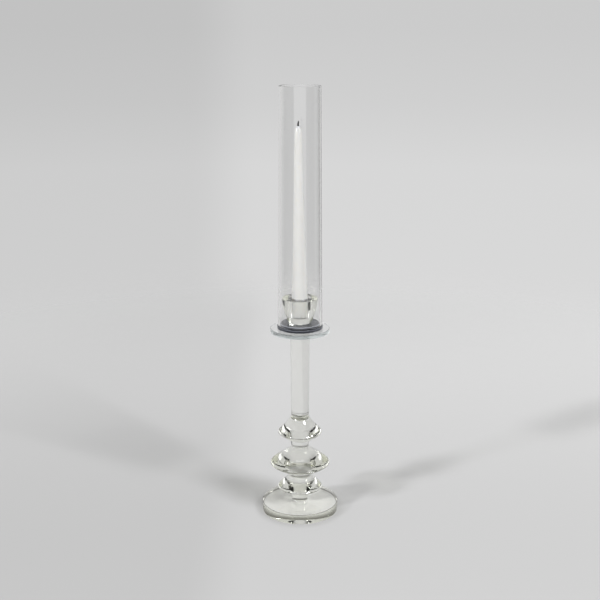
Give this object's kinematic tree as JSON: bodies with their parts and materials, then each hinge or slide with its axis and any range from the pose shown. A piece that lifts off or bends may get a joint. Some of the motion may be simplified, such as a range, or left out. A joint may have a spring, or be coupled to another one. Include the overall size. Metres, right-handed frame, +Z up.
{
  "type": "glass hurricane candlestick",
  "caption": "Clear glass candlestick: round foot, stacked lens-shaped beads, slim rod stem, drip plate and socket cup, with a lift-off glass chimney over a white taper candle.",
  "frame": {"origin": "centre of the foot's underside, on the surface the candlestick stands on", "axes": "+Z up along the stem; the object is turned about +Z, and the candle leans slightly towards -X"},
  "size_m": [0.1054, 0.1054, 0.59],
  "materials": {
    "crystal_glass": "polished, clear with a faint warm grey-green tint",
    "plate_glass": "polished float glass with a pale aqua edge",
    "seat_glass": "polished, near-black blue",
    "cup_glass": "polished, clear",
    "chimney_glass": "clear drawn tube, fire-polished ends",
    "wax": "smooth white wax, slightly translucent",
    "wick_cotton": "braided cotton, burnt black",
    "clear_adhesive": "clear cured adhesive film"
  },
  "bodies": {
    "holder": {"base_disc": "crystal_glass", "lower_bead": "crystal_glass", "large_bead": "crystal_glass", "upper_bead": "crystal_glass", "stem_rod": "crystal_glass", "drip_plate": "plate_glass", "chimney_seat": "seat_glass", "candle_cup": "cup_glass", "bond_base_to_bead": "clear_adhesive", "bond_lower_to_large_bead": "clear_adhesive", "bond_large_to_upper_bead": "clear_adhesive", "bond_bead_to_stem": "clear_adhesive", "bond_stem_to_plate": "clear_adhesive", "bond_plate_to_seat": "clear_adhesive", "bond_seat_to_cup": "clear_adhesive"},
    "chimney_body": {"chimney": "chimney_glass"},
    "candle_body": {"candle": "wax", "wick": "wick_cotton"}
  },
  "joints": [
    {"name": "chimney_lift", "type": "slide", "parent": "holder", "child": "chimney_body", "axis": [0, 0, 1], "range_m": [0, 0.3]},
    {"name": "candle_lift", "type": "slide", "parent": "holder", "child": "candle_body", "axis": [0, 0, 1], "range_m": [0, 0.32]}
  ]
}
